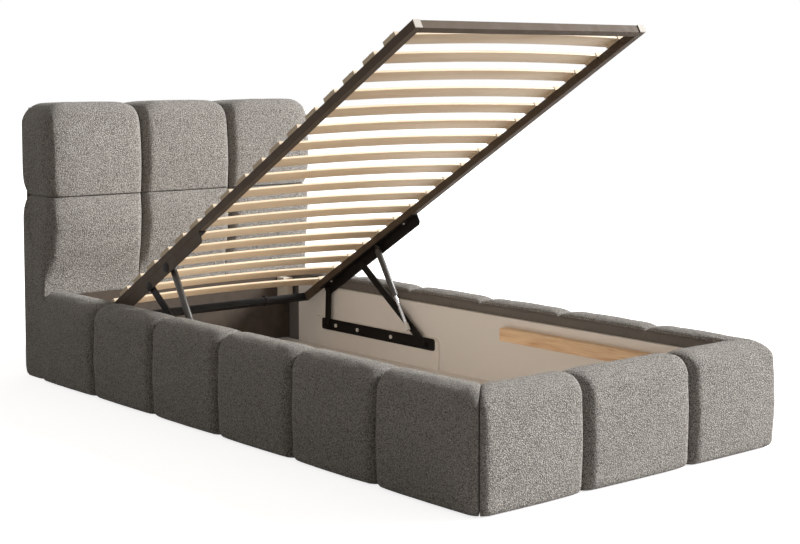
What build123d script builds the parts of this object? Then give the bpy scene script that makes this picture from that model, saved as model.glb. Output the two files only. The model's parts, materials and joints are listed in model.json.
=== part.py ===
from build123d import *
import math
import os

# Upholstered single bed with a storage box under a slatted platform that two gas springs hold up.
# Millimetres. X runs across the bed, Y from the foot to the headboard, Z up from the floor.
# The origin is on the floor, in the middle of the whole bed. The platform is drawn raised.

# Storage box and its upholstered rails
box_inner_width = 920
panel_thickness = 16
panel_height = 260
rail_board_thickness = 18
rail_board_height = 288
padding_thickness = 50
side_cushion_count = 6
side_cushion_pitch = 373
foot_middle_cushion_width = 419
glide_height = 8
glide_radius = 15
glide_rows = 3
lining_thickness = 1.2
side_panel_head_gap = 97

# Cushion shape: how far a cushion swells past its seams
seam_belly = 1
rail_crown = 40
rail_belly = 9
rail_seam_top = 297
rail_top_swell = 20
rail_top_bow = 2
rail_seam_bottom = 12
rail_bottom_swell = 7
rail_top_round = 46
rail_bottom_round = 34
cloth_fold = 2
rail_inner_swell = 16
corner_reach = 40

# Swell along a cushion, from seam to middle to seam
station_shares = (0, 0.25, 0.5, 0.75, 1)
swell_power = 2

# Headboard
headboard_height = 978
headboard_overhang = 24
headboard_frame_inset = 28
headboard_column_width = 374
headboard_row_seam = 646
headboard_lower_start = 316
headboard_lower_rise = 150
headboard_top_swell = 14
headboard_top_bow = 3
headboard_row_swell = 4
headboard_padding = 85
headboard_seam_overhang = 3
headboard_crown = 40
headboard_belly = 19
headboard_round = 40
headboard_wrap_round = 12
headboard_row_round = 18
headboard_frame_depth = 62
headboard_frame_drop = 23
headboard_cover_depth = 3
headboard_cover_inset = 18
head_board_thickness = 15
headboard_batten = 60
headboard_columns = 3
headboard_rows = 2

# Floor of the storage box
floor_thickness = 8
bearer_height = 34
bearer_width = 60
bearer_count = 3
bearer_end_inset = 250

# Corner posts and the rests that the closed platform lies on
post_size = 43
head_block_rise = 150
head_block_height = 91
rest_thickness = 30
rest_height = 43
rest_length = 887
rest_top = 237.3
support_board_thickness = 10
support_board_height = 111
support_board_round = 20
support_board_length = 712
support_board_head_gap = 205

# Slatted platform
platform_side_gap = 10
platform_length = 1980
platform_head_gap = 49
tube_width = 25
tube_height = 25
tube_wall = 1.5
cap_plate = 3
cap_plug = 12
slat_count = 18
first_slat_inset = 111
last_slat_inset = 118
slat_width = 53
slat_thickness = 8
slat_crown = 10
slat_end_inset = 2
holder_length = 30
holder_wall = 1.5
holder_pin_size = 6
holder_pin_height = 7

# Hinge: two links a side between a plate on the box and an angle iron on the platform
open_tilt = 30.3
hinge_plate_length = 651
hinge_plate_height = 42
hinge_plate_thickness = 4
hinge_plate_corner = 9
hinge_plate_head_inset = 40
lower_pivot_height = 88
lower_pivot_head_gap = 291
lower_pivot_spacing = 561
hinge_bolt_places = (48, 179, 374)
upper_rear_pivot_inset = 146
upper_front_pivot_inset = 384
pivot_drop = 38
angle_start = 124
angle_length = 628
angle_leg = 38
angle_foot = 28
angle_thickness = 3
angle_corner_cut = 9
angle_bolt_inset = 68
link_width = 28
link_thickness = 5
link_side_gap = 0.5
rivet_radius = 5
rivet_head_radius = 9
rivet_head_height = 3
rivet_head_bevel = 1.5
outer_head_height = 1.5
bolt_radius = 4
bolt_head_radius = 7
bolt_head_height = 3.5

# Gas springs
gas_stud_inset = 513
gas_stud_drop = 28
gas_foot_along_link = 85
gas_stud_radius = 4
gas_stud_head_radius = 6.5
gas_stud_head_height = 2.5
gas_link_gap = 4
gas_body_radius = 11
gas_body_wall = 1.6
gas_body_start = 14
gas_body_end = 196
gas_end_wall = 12
gas_eye_width = 9
gas_eye_radius = 9
gas_rod_radius = 6
gas_piston_length = 10
gas_rod_overlap = 22
gas_fitting_length = 26
gas_fitting_radius = 8.5

# Clearances
running_clearance = 0.05
axial_clearance = 0.3
soft_clearance = 0.3
fit_clearance = 0.2

# Places that follow from the sizes above
foot_inner_depth = padding_thickness + rail_board_thickness + panel_thickness
rail_length = side_cushion_count * side_cushion_pitch
headboard_depth = headboard_padding + headboard_frame_depth + headboard_cover_depth
foot_crest = seam_belly + rail_crown + rail_belly
corner_run = foot_crest + corner_reach
overall_length = foot_crest + rail_length + headboard_depth
foot_seam_y = foot_crest - overall_length / 2
rail_end_y = foot_seam_y + rail_length
frame_front_y = rail_end_y + headboard_padding
panel_x = box_inner_width / 2
rail_board_x = panel_x + panel_thickness
padding_x = rail_board_x + rail_board_thickness
seam_x = padding_x + padding_thickness
headboard_width = 2 * (seam_x + headboard_overhang)
headboard_frame_width = headboard_width - 2 * headboard_frame_inset
foot_inner_y = foot_seam_y + foot_inner_depth
rail_board_top = glide_height + rail_board_height
panel_top = glide_height + panel_height
floor_top = bearer_height + floor_thickness
head_face_y = rail_end_y - head_board_thickness
post_y = head_face_y - post_size
rest_bottom = rest_top - rest_height
closed_tube_z = rest_top + axial_clearance + tube_height / 2
support_face_x = panel_x - support_board_thickness
plate_face_x = support_face_x - hinge_plate_thickness
link_outer_x = plate_face_x - link_side_gap
link_inner_x = link_outer_x - link_thickness
gas_x = link_inner_x - gas_link_gap - gas_body_radius
lower_pivot_z = floor_top + lower_pivot_height
rear_pivot_y = head_face_y - lower_pivot_head_gap
front_pivot_y = rear_pivot_y - lower_pivot_spacing
half_platform = panel_x - platform_side_gap
platform_width = 2 * half_platform
slat_pitch = (platform_length - first_slat_inset - last_slat_inset) / (slat_count - 1)
side_signs = {"left": -1, "right": 1}
up = Vector(0, 0, 1)


def turned(point, degrees):
    """A (y, z) pair turned about the X axis."""
    a = math.radians(degrees)
    y, z = point
    return (y * math.cos(a) - z * math.sin(a), y * math.sin(a) + z * math.cos(a))


def heading(start, end):
    """Angle of the line from one (y, z) place to another, in degrees from +Y towards +Z."""
    return math.degrees(math.atan2(end[1] - start[1], end[0] - start[0]))


def moved(point, step):
    return (point[0] + step[0], point[1] + step[1])


# Linkage: the closed pose sets the link lengths, and the raised pose is solved from them
rear_pivot = (rear_pivot_y, lower_pivot_z)
front_pivot = (front_pivot_y, lower_pivot_z)
rear_hole = (-upper_rear_pivot_inset, -pivot_drop)
front_hole = (-upper_front_pivot_inset, -pivot_drop)
gas_hole = (-gas_stud_inset, -gas_stud_drop)
closed_corner = (head_face_y - platform_head_gap, closed_tube_z)
rear_link_length = math.dist(rear_pivot, moved(closed_corner, rear_hole))
front_link_length = math.dist(front_pivot, moved(closed_corner, front_hole))


def raised_corner(tilt):
    """Place of the platform's head end, on its tube's centre line, where both links reach it."""
    rear_arm = turned(rear_hole, -tilt)
    front_arm = turned(front_hole, -tilt)
    other = (front_pivot[0] + rear_arm[0] - front_arm[0], front_pivot[1] + rear_arm[1] - front_arm[1])
    span = math.dist(rear_pivot, other)
    along = (rear_link_length**2 - front_link_length**2 + span**2) / (2 * span)
    height = math.sqrt(rear_link_length**2 - along**2)
    step = ((other[0] - rear_pivot[0]) / span, (other[1] - rear_pivot[1]) / span)
    hole = (
        rear_pivot[0] + along * step[0] + height * step[1],
        rear_pivot[1] + along * step[1] - height * step[0],
    )
    return (hole[0] - rear_arm[0], hole[1] - rear_arm[1])


corner = raised_corner(open_tilt)
upper_rear = moved(corner, turned(rear_hole, -open_tilt))
upper_front = moved(corner, turned(front_hole, -open_tilt))
gas_top = moved(corner, turned(gas_hole, -open_tilt))
gas_foot_share = gas_foot_along_link / front_link_length
gas_foot = (
    front_pivot[0] + (upper_front[0] - front_pivot[0]) * gas_foot_share,
    front_pivot[1] + (upper_front[1] - front_pivot[1]) * gas_foot_share,
)
gas_length = math.dist(gas_top, gas_foot)


def block(low, high):
    """Box from its lowest to its highest corner."""
    size = [b - a for a, b in zip(low, high)]
    middle = [(a + b) / 2 for a, b in zip(low, high)]
    return Pos(*middle) * Box(*size)


def rod_x(y, z, x_from, x_to, radius):
    """Round bar along X between two places."""
    x_middle = (x_from + x_to) / 2
    return Pos(x_middle, y, z) * Rot(0, 90, 0) * Cylinder(radius, abs(x_to - x_from))


def both_sides(make):
    """The same piece on the left and on the right, as two solids."""
    return Compound([make(sign) for sign in side_signs.values()])


def save(part, name):
    export_step(part, f"parts/{name}.step")


# Cushions
def swell(share):
    """How full a cushion is at a share of its length, 0 at a seam and 1 in the middle."""
    return (1 - abs(2 * share - 1) ** swell_power) ** (1 / swell_power)


def cushion_section(plane, shape):
    """Outline of a cushion across its length. It hooks over a board where its hook depth is not zero."""
    depth, low, high = shape["depth"], shape["low"], shape["high"]
    low_round, high_round = shape["rounds"]
    low_rise = shape["rise"]
    hook_depth, hook_height = shape["hook"]
    skirt_depth, skirt_bottom = shape["skirt"]
    foot = (0, skirt_bottom) if skirt_depth else (0, low)
    back_top = (-hook_depth, shape["back_top"])
    back = [foot, (0, hook_height), (-hook_depth, hook_height), back_top] if hook_depth else [foot, back_top]
    top_end = (depth - high_round, high)
    side_start = (depth, high - high_round)
    side_end = (depth, low + low_rise)
    bottom_start = (depth - low_round, low)
    inset = 1 - math.sqrt(1 / 2)
    top_middle = ((back_top[0] + top_end[0]) / 2, (back_top[1] + high) / 2 + shape["bow"])
    high_corner = (depth - high_round * inset, high - high_round * inset)
    low_corner = (depth - low_round * inset, low + low_rise * inset)
    side_middle = (depth + shape["belly"], (side_start[1] + side_end[1]) / 2)
    edges = [Line(a, b) for a, b in zip(back, back[1:])]
    edges.append(ThreePointArc(back_top, top_middle, top_end))
    edges.append(ThreePointArc(top_end, high_corner, side_start))
    edges.append(ThreePointArc(side_start, side_middle, side_end))
    edges.append(ThreePointArc(side_end, low_corner, bottom_start))
    front = [bottom_start, (skirt_depth, skirt_bottom), foot] if skirt_depth else [bottom_start, foot]
    edges.extend(Line(a, b) for a, b in zip(front, front[1:]))
    return plane * make_face(edges)


def cushion(middle, outward, length, shape):
    """One cushion, lofted along its length between two seams that draw it in."""
    along = outward.cross(up)
    sections = []
    for share in station_shares:
        start = middle + along * ((length - soft_clearance) * (share - 1 / 2))
        plane = Plane(origin=start, x_dir=outward, z_dir=along)
        sections.append(cushion_section(plane, shape(swell(share))))
    return loft(sections)


def rail_shape(fullness):
    return {
        "depth": padding_thickness + rail_crown * fullness,
        "low": rail_seam_bottom - rail_bottom_swell * fullness,
        "high": rail_seam_top + rail_top_swell * fullness,
        "back_top": rail_board_top + cloth_fold + rail_inner_swell * fullness,
        "bow": rail_top_bow,
        "belly": seam_belly + rail_belly * fullness,
        "rounds": (rail_bottom_round, rail_top_round),
        "rise": rail_bottom_round,
        "hook": (rail_board_thickness, rail_board_top),
        "skirt": (0, 0),
    }


def wedge(start, end, third, low, height):
    """Upright three-sided prism, to cut a piece along the plane between its first two corners."""
    face = make_face(Polyline(start, end, third, close=True))
    return Pos(0, 0, low) * extrude(face, amount=height, dir=(0, 0, 1))


def corner_cutter(sign, keeps_side):
    """Cuts a side cushion or a foot cushion along 45 degrees at a foot corner."""
    gap = soft_clearance if keeps_side else -soft_clearance
    reach = 2 * foot_inner_depth
    inner = (sign * (seam_x - reach), foot_seam_y + reach + gap)
    outer = (sign * (seam_x + reach), foot_seam_y - reach + gap)
    third = (inner[0], outer[1]) if keeps_side else (outer[0], inner[1])
    return wedge(inner, outer, third, 0, 2 * rail_seam_top)


def make_side_cushions():
    for side, sign in side_signs.items():
        outward = Vector(sign, 0, 0)
        for index in range(side_cushion_count):
            start = foot_seam_y + side_cushion_pitch * index
            length = side_cushion_pitch
            if index == 0:
                start -= corner_run
                length += corner_run
            part = cushion(Vector(sign * padding_x, start + length / 2, 0), outward, length, rail_shape)
            if index == 0:
                part = part - corner_cutter(sign, True)
            save(part, f"side_cushion_{side}_{index + 1}")


def make_foot_cushions():
    outward = Vector(0, -1, 0)
    end_width = seam_x + corner_run - foot_middle_cushion_width / 2
    end_middle = (foot_middle_cushion_width + end_width) / 2
    places = ((-end_middle, end_width), (0, foot_middle_cushion_width), (end_middle, end_width))
    for index, (x, width) in enumerate(places):
        part = cushion(Vector(x, foot_seam_y + padding_thickness, 0), outward, width, rail_shape)
        if x != 0:
            part = part - corner_cutter(math.copysign(1, x), False)
        save(part, f"foot_cushion_{index + 1}")


# Headboard
def headboard_shape(low, high, row_swells, skirt):
    """Shape of one row, whose bottom and top move up by the two swells in the middle of a cushion."""

    def shape(fullness):
        top = high + row_swells[1] * fullness
        depth = headboard_padding + headboard_seam_overhang + headboard_crown * fullness
        return {
            "depth": depth,
            "low": low + row_swells[0] * fullness,
            "high": top,
            "back_top": top,
            "bow": headboard_top_bow,
            "belly": seam_belly + headboard_belly * fullness,
            "rounds": (depth - skirt[0], headboard_row_round) if skirt[0] else (headboard_row_round, headboard_round),
            "rise": headboard_lower_rise if skirt[0] else headboard_row_round,
            "hook": (0, 0),
            "skirt": skirt,
        }

    return shape


def headboard_cushion(row, column):
    """Upper cushions are plain, and lower ones run on to the floor behind the ends of the rails."""
    edge_width = (headboard_width - headboard_column_width) / 2
    width = headboard_column_width if column == 1 else edge_width
    x = (column - 1) * (headboard_column_width + edge_width) / 2
    if row == "upper":
        low = headboard_row_seam + soft_clearance
        high = headboard_height - headboard_top_swell - headboard_top_bow
        shape = headboard_shape(low, high, (headboard_row_swell, headboard_top_swell), (0, 0))
    else:
        skirt = (headboard_padding, rail_seam_bottom - rail_bottom_swell)
        high = headboard_row_seam - headboard_top_bow
        shape = headboard_shape(headboard_lower_start, high, (0, -headboard_row_swell), skirt)
    return cushion(Vector(x, frame_front_y, 0), Vector(0, -1, 0), width, shape)


def headboard_wrap(row, column):
    """Thin padding under the same cover, over the frame's outer side and its top."""
    bottom = rail_seam_bottom - rail_bottom_swell
    low = headboard_row_seam + soft_clearance if row == "upper" else bottom
    high = headboard_height - headboard_top_swell if row == "upper" else headboard_row_seam
    frame_half = headboard_frame_width / 2
    outer_half = headboard_width / 2 - soft_clearance
    back_y = frame_front_y + headboard_frame_depth
    frame_top = headboard_height - headboard_frame_drop
    pads = []
    side = column - 1
    if side:
        xs = sorted((side * frame_half, side * outer_half))
        pads.append(block((xs[0], frame_front_y, low), (xs[1], back_y, high)))
    if row == "upper":
        inner = headboard_column_width / 2 - soft_clearance
        xs = sorted((side * (inner + soft_clearance), side * outer_half)) if side else (-inner, inner)
        pads.append(block((xs[0], frame_front_y, frame_top), (xs[1], back_y, high)))
    if not pads:
        return []
    pad = sum(pads[1:], pads[0])
    upright = [e for e in pad.edges().filter_by(Axis.Z) if abs(abs(e.center().X) - outer_half) < fit_clearance]
    corners = [e for e in upright if e.center().Y > back_y - fit_clearance]
    return [fillet(corners, headboard_wrap_round)] if corners else [pad]


def make_headboard():
    bottom = rail_seam_bottom - rail_bottom_swell
    for row in ("lower", "upper"):
        for column in range(headboard_columns):
            parts = [headboard_cushion(row, column), *headboard_wrap(row, column)]
            save(Compound(parts) if len(parts) > 1 else parts[0], f"headboard_cushion_{row}_{column + 1}")
    half = headboard_frame_width / 2
    frame_back_y = frame_front_y + headboard_frame_depth
    frame_top = headboard_height - headboard_frame_drop
    frame = block((-half, frame_front_y, 0), (half, frame_back_y, frame_top))
    bay_width = (2 * half - (headboard_columns + 1) * headboard_batten) / headboard_columns
    bay_height = (frame_top - (headboard_rows + 1) * headboard_batten) / headboard_rows
    for column in range(headboard_columns):
        for row in range(headboard_rows):
            x = -half + headboard_batten + column * (bay_width + headboard_batten)
            z = headboard_batten + row * (bay_height + headboard_batten)
            frame = frame - block((x, frame_front_y, z), (x + bay_width, frame_back_y, z + bay_height))
    save(frame, "headboard_frame")
    half = headboard_width / 2 - headboard_cover_inset
    low = (-half, frame_back_y, bottom)
    high = (half, frame_back_y + headboard_cover_depth, headboard_height - headboard_top_swell)
    cover = block(low, high)
    upright = cover.edges().filter_by(Axis.Z).sort_by(Axis.Y)[2:]
    save(fillet(upright, headboard_cover_depth / 2), "headboard_back_cover")
    panel = block((-padding_x, head_face_y, floor_top), (padding_x, rail_end_y, rail_board_top))
    save(panel, "head_inner_board")


# Box
def make_rails():
    board_start = foot_seam_y + padding_thickness
    inner_start = board_start + rail_board_thickness
    for side, sign in side_signs.items():
        xs = sorted((sign * rail_board_x, sign * padding_x))
        board = block(
            (xs[0], inner_start, glide_height),
            (xs[1], head_face_y, rail_board_top),
        )
        save(board, f"side_board_{side}")
        xs = sorted((sign * panel_x, sign * rail_board_x))
        panel = block(
            (xs[0], inner_start, glide_height),
            (xs[1], rail_end_y - side_panel_head_gap, panel_top),
        )
        save(panel, f"box_panel_{side}")
    save(
        block((-padding_x, board_start, glide_height), (padding_x, inner_start, rail_board_top)),
        "foot_board",
    )
    save(
        block((-panel_x, inner_start, glide_height), (panel_x, foot_inner_y, panel_top)),
        "foot_panel",
    )


def make_lining():
    """Smooth cloth that covers the rails' boards above the laminated panels."""
    inner_start = foot_inner_y - panel_thickness

    def side_strip(sign):
        xs = sorted((sign * rail_board_x, sign * (rail_board_x - lining_thickness)))
        strip = block((xs[0], inner_start, panel_top), (xs[1], head_face_y, rail_board_top))
        return strip + block((xs[0], rail_end_y - side_panel_head_gap, glide_height), (xs[1], head_face_y, panel_top))

    half = rail_board_x - lining_thickness
    foot_strip = block(
        (-half, inner_start, panel_top),
        (half, inner_start + lining_thickness, rail_board_top),
    )
    strips = [side_strip(sign) for sign in side_signs.values()]
    save(Compound([*strips, foot_strip]), "inner_lining")


def make_floor():
    half = panel_x
    joint_y = (foot_inner_y + head_face_y) / 2
    halves = []
    for low, high in ((foot_inner_y, joint_y), (joint_y, head_face_y)):
        halves.append(block((-half, low, bearer_height), (half, high, floor_top)))
    save(Compound(halves), "floor_panels")
    first = foot_inner_y + bearer_end_inset
    last = head_face_y - bearer_end_inset
    bearers = []
    for index in range(bearer_count):
        y = first + (last - first) * index / (bearer_count - 1)
        low = (-half, y - bearer_width / 2, 0)
        high = (half, y + bearer_width / 2, bearer_height)
        bearers.append(block(low, high))
    save(Compound(bearers), "floor_bearers")
    glides = []
    run = rail_end_y - foot_seam_y - 2 * bearer_end_inset
    for sign in side_signs.values():
        for index in range(glide_rows):
            y = foot_seam_y + bearer_end_inset + run * index / (glide_rows - 1)
            glides.append(Pos(sign * rail_board_x, y, glide_height / 2) * Cylinder(glide_radius, glide_height))
    save(Compound(glides), "glides")


def make_posts_and_rests():
    posts = []
    for sign in side_signs.values():
        xs = sorted((sign * panel_x, sign * (panel_x - post_size)))
        block_low = floor_top + head_block_rise
        posts.append(block((xs[0], post_y, block_low), (xs[1], head_face_y, block_low + head_block_height)))
        foot_post_end = foot_inner_y + post_size
        posts.append(block((xs[0], foot_inner_y, floor_top), (xs[1], foot_post_end, rest_bottom)))
    save(Compound(posts), "corner_posts")

    def rest(sign):
        xs = sorted((sign * panel_x, sign * (panel_x - rest_thickness)))
        return block((xs[0], foot_inner_y, rest_bottom), (xs[1], foot_inner_y + rest_length, rest_top))

    save(both_sides(rest), "slat_rests")

    def support(sign):
        xs = sorted((sign * panel_x, sign * support_face_x))
        head_end = head_face_y - support_board_head_gap
        foot_end = head_end - support_board_length
        board = block((xs[0], foot_end, floor_top), (xs[1], head_end, floor_top + support_board_height))
        top_corner = board.edges().filter_by(Axis.X).sort_by(Axis.Z)[-2:].sort_by(Axis.Y)[0]
        return fillet(top_corner, support_board_round)

    save(both_sides(support), "support_boards")


# Hinge
def link_bar(length, x_low, holes):
    """Flat bar with round ends along +Y from the origin, lying between x_low and x_low plus its thickness."""
    plane = Plane(origin=(x_low, 0, 0), x_dir=(0, 1, 0), z_dir=(1, 0, 0))
    face = plane * Pos(length / 2, 0) * SlotCenterToCenter(length, link_width)
    bar = extrude(face, amount=link_thickness, dir=(1, 0, 0))
    for place in holes:
        bar = bar - rod_x(
            place, 0, x_low - link_thickness, x_low + 2 * link_thickness, rivet_radius + running_clearance
        )
    return bar


def side_x(sign, x_inner, x_outer):
    """Inner and outer place of a piece on one side, lowest first."""
    return sorted((sign * x_inner, sign * x_outer))


def rivet_head(sign, y, z, x_start, x_end):
    """Low round head whose outer rim, at x_end, is bevelled."""
    head = rod_x(y, z, sign * x_start, sign * x_end, rivet_head_radius)
    rims = head.edges().filter_by(GeomType.CIRCLE).sort_by(Axis.X)
    rim = rims[-1] if sign * (x_end - x_start) > 0 else rims[0]
    return chamfer(rim, rivet_head_bevel)


def rivet(sign, y, z, x_seat):
    """Rivet from its seat through a link, with its head over the link's inner face."""
    shank_end = link_inner_x - axial_clearance
    shank = rod_x(y, z, sign * x_seat, sign * shank_end, rivet_radius)
    return shank + rivet_head(sign, y, z, shank_end, shank_end - rivet_head_height)


def make_hinge_plates():
    start = rear_pivot_y + hinge_plate_head_inset - hinge_plate_length
    middle_y = start + hinge_plate_length / 2
    for side, sign in side_signs.items():
        xs = side_x(sign, plate_face_x, support_face_x)
        plane = Plane(origin=(xs[0], middle_y, lower_pivot_z), x_dir=(0, 1, 0), z_dir=(1, 0, 0))
        face = plane * RectangleRounded(hinge_plate_length, hinge_plate_height, hinge_plate_corner)
        plate = extrude(face, amount=hinge_plate_thickness, dir=(1, 0, 0))
        for pivot_y in (front_pivot_y, rear_pivot_y):
            plate = plate + rivet(sign, pivot_y, lower_pivot_z, plate_face_x)
        save(plate, f"hinge_plate_{side}")

    def bolts(sign):
        heads = []
        for place in hinge_bolt_places:
            y = rear_pivot_y - place
            head_end = plate_face_x - bolt_head_height
            head = rod_x(y, lower_pivot_z, sign * plate_face_x, sign * head_end, bolt_head_radius)
            heads.append(head)
        return heads

    save(Compound([head for sign in side_signs.values() for head in bolts(sign)]), "hinge_plate_bolts")


def make_front_links():
    angle = heading(front_pivot, upper_front)
    for side, sign in side_signs.items():
        x_low = side_x(sign, link_inner_x, link_outer_x)[0]
        bar = link_bar(front_link_length, x_low, (0, front_link_length))
        bar = Pos(0, *front_pivot) * Rot(angle, 0, 0) * bar
        stud_end = gas_x + gas_fitting_radius + axial_clearance
        stud = rod_x(*gas_foot, sign * link_inner_x, sign * stud_end, gas_stud_radius)
        save(bar + stud, f"front_link_{side}")


def make_rear_links():
    """The upper end carries its own rivet, which stops just short of the angle iron."""
    angle = heading(rear_pivot, upper_rear)
    leg_face_x = half_platform - angle_thickness
    for side, sign in side_signs.items():
        x_low = side_x(sign, link_inner_x, link_outer_x)[0]
        bar = link_bar(rear_link_length, x_low, (0,))
        bar = Pos(0, *rear_pivot) * Rot(angle, 0, 0) * bar
        stub = rod_x(*upper_rear, sign * link_outer_x, sign * (leg_face_x - axial_clearance), rivet_radius)
        head = rivet_head(sign, *upper_rear, link_inner_x, link_inner_x - rivet_head_height)
        save(bar + stub + head, f"rear_link_{side}")


# Platform, drawn flat with its head end at Y zero and its tubes' centre at Z zero, then raised
def raise_platform(part):
    return Pos(0, *corner) * Rot(-open_tilt, 0, 0) * part


def tube_profile(plane):
    outer = Rectangle(tube_width, tube_height)
    inner = Rectangle(tube_width - 2 * tube_wall, tube_height - 2 * tube_wall)
    return plane * (outer - inner)


def mitre_cutter(sign, keeps_side):
    """Cuts a side tube or the head tube along 45 degrees at a head corner."""
    reach = 2 * tube_width
    outer = (sign * (half_platform + reach), reach)
    inner = (sign * (half_platform - reach), -reach)
    third = (inner[0], outer[1]) if keeps_side else (outer[0], inner[1])
    return wedge(inner, outer, third, -tube_height, 2 * tube_height)


def make_platform_tubes():
    tube_x = half_platform - tube_width / 2
    side_run = platform_length - cap_plate
    for side, sign in side_signs.items():
        plane = Plane(origin=(sign * tube_x, 0, 0), x_dir=(1, 0, 0), z_dir=(0, -1, 0))
        tube = extrude(tube_profile(plane), amount=side_run, dir=(0, -1, 0))
        save(raise_platform(tube - mitre_cutter(sign, True)), f"side_tube_{side}")
    plane = Plane(origin=(-half_platform, -tube_width / 2, 0), x_dir=(0, 1, 0), z_dir=(1, 0, 0))
    head_tube = extrude(tube_profile(plane), amount=platform_width, dir=(1, 0, 0))
    for sign in side_signs.values():
        head_tube = head_tube - mitre_cutter(sign, False)
    save(raise_platform(head_tube), "head_tube")
    inner_x = half_platform - tube_width
    foot_y = -platform_length + cap_plate + tube_width / 2
    plane = Plane(origin=(-inner_x, foot_y, 0), x_dir=(0, 1, 0), z_dir=(1, 0, 0))
    foot_tube = extrude(tube_profile(plane), amount=2 * inner_x, dir=(1, 0, 0))
    save(raise_platform(foot_tube), "foot_tube")

    def cap(sign):
        x = sign * tube_x
        plate_y = -platform_length + cap_plate / 2
        plate = Pos(x, plate_y, 0) * Box(tube_width, cap_plate, tube_height)
        plug_width = tube_width - 2 * (tube_wall + fit_clearance)
        plug_height = tube_height - 2 * (tube_wall + fit_clearance)
        plug_y = -platform_length + cap_plate + cap_plug / 2
        return plate + Pos(x, plug_y, 0) * Box(plug_width, cap_plug, plug_height)

    save(raise_platform(both_sides(cap)), "tube_caps")


def bowed_bar(half_length, low, high, width):
    """Bar across X that is bowed upwards by the slats' crown."""
    under = ThreePointArc((-half_length, low), (0, low + slat_crown), (half_length, low))
    over = ThreePointArc((half_length, high), (0, high + slat_crown), (-half_length, high))
    face = make_face([under, Line(under @ 1, over @ 0), over, Line(over @ 1, under @ 0)])
    plane = Plane(origin=(0, width / 2, 0), x_dir=(1, 0, 0), z_dir=(0, -1, 0))
    return extrude(plane * face, amount=width, dir=(0, -1, 0))


def slat_places():
    return [-platform_length + first_slat_inset + slat_pitch * index for index in range(slat_count)]


def make_slats():
    tube_top = tube_height / 2
    half_length = half_platform - slat_end_inset
    base = tube_top + holder_wall + fit_clearance
    top = base + slat_thickness
    slat = bowed_bar(half_length, base, top, slat_width)
    slats = [Pos(0, y, 0) * slat for y in slat_places()]
    save(raise_platform(Compound(slats)), "slats")

    pocket_width = slat_width + 2 * fit_clearance
    pocket_high = top + fit_clearance
    pocket = bowed_bar(half_length + fit_clearance, base - fit_clearance, pocket_high, pocket_width)
    inner_x = half_platform - holder_length
    holder_x = half_length + fit_clearance + holder_wall
    slope_rise = slat_crown * (1 - (inner_x / half_length) ** 2)
    holder_top = pocket_high + slope_rise + holder_wall
    half_width = pocket_width / 2 + holder_wall
    holders = []
    for sign in side_signs.values():
        xs = side_x(sign, inner_x, holder_x)
        body = block((xs[0], -half_width, tube_top), (xs[1], half_width, holder_top)) - pocket
        pin_x = sign * (half_platform - tube_width / 2)
        pin_middle = Pos(pin_x, 0, holder_top + holder_pin_height / 2)
        pin = pin_middle * Box(holder_pin_size, holder_pin_size, holder_pin_height)
        holder = body + pin
        holders.extend(Pos(0, y, 0) * holder for y in slat_places())
    save(raise_platform(Compound(holders)), "slat_holders")


def make_hinge_angles():
    under_tube = -tube_height / 2
    low = under_tube - angle_leg
    start = -angle_start
    end = -angle_start - angle_length
    for side, sign in side_signs.items():
        xs = side_x(sign, half_platform - angle_thickness, half_platform)
        corners = [
            (start, under_tube),
            (end, under_tube),
            (end, low + angle_corner_cut),
            (end + angle_corner_cut, low),
            (start - angle_corner_cut, low),
            (start, low + angle_corner_cut),
        ]
        plane = Plane(origin=(xs[0], 0, 0), x_dir=(0, 1, 0), z_dir=(1, 0, 0))
        leg = extrude(plane * make_face(Polyline(*corners, close=True)), amount=angle_thickness, dir=(1, 0, 0))
        xs = side_x(sign, half_platform - angle_foot, half_platform)
        flat = block((xs[0], end, under_tube - angle_thickness), (xs[1], start, under_tube))
        part = leg + flat
        leg_face = half_platform - angle_thickness
        part = part + rivet(sign, *front_hole, leg_face)
        part = part + gas_stud(sign, leg_face)
        for y, z in (front_hole, rear_hole):
            part = part + rod_x(y, z, sign * half_platform, sign * (half_platform + outer_head_height), rivet_head_radius)
        save(raise_platform(part), f"hinge_angle_{side}")

    def bolts(sign):
        heads = []
        z = under_tube - angle_thickness
        x = sign * (half_platform - angle_foot / 2 - angle_thickness / 2)
        for y in (start - angle_bolt_inset, end + angle_bolt_inset):
            z_middle = z - bolt_head_height / 2
            heads.append(Pos(x, y, z_middle) * Cylinder(bolt_radius, bolt_head_height))
        return heads

    heads = [head for sign in side_signs.values() for head in bolts(sign)]
    save(raise_platform(Compound(heads)), "angle_bolts")


def gas_stud(sign, leg_face):
    """Stud through the gas spring's eye, with a flat head on its end."""
    y, z = gas_hole
    eye_end = gas_x - gas_eye_width / 2 - axial_clearance
    shank = rod_x(y, z, sign * leg_face, sign * eye_end, gas_stud_radius)
    head = rod_x(y, z, sign * eye_end, sign * (eye_end - gas_stud_head_height), gas_stud_head_radius)
    return shank + head


# Gas springs, drawn along +Y from the top stud and then turned to the lower stud
def place_gas(part):
    return Pos(0, *gas_top) * Rot(heading(gas_top, gas_foot), 0, 0) * part


def rod_y(x, y_from, y_to, radius):
    middle = (y_from + y_to) / 2
    return Pos(x, middle, 0) * Rot(90, 0, 0) * Cylinder(radius, abs(y_to - y_from))


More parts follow.
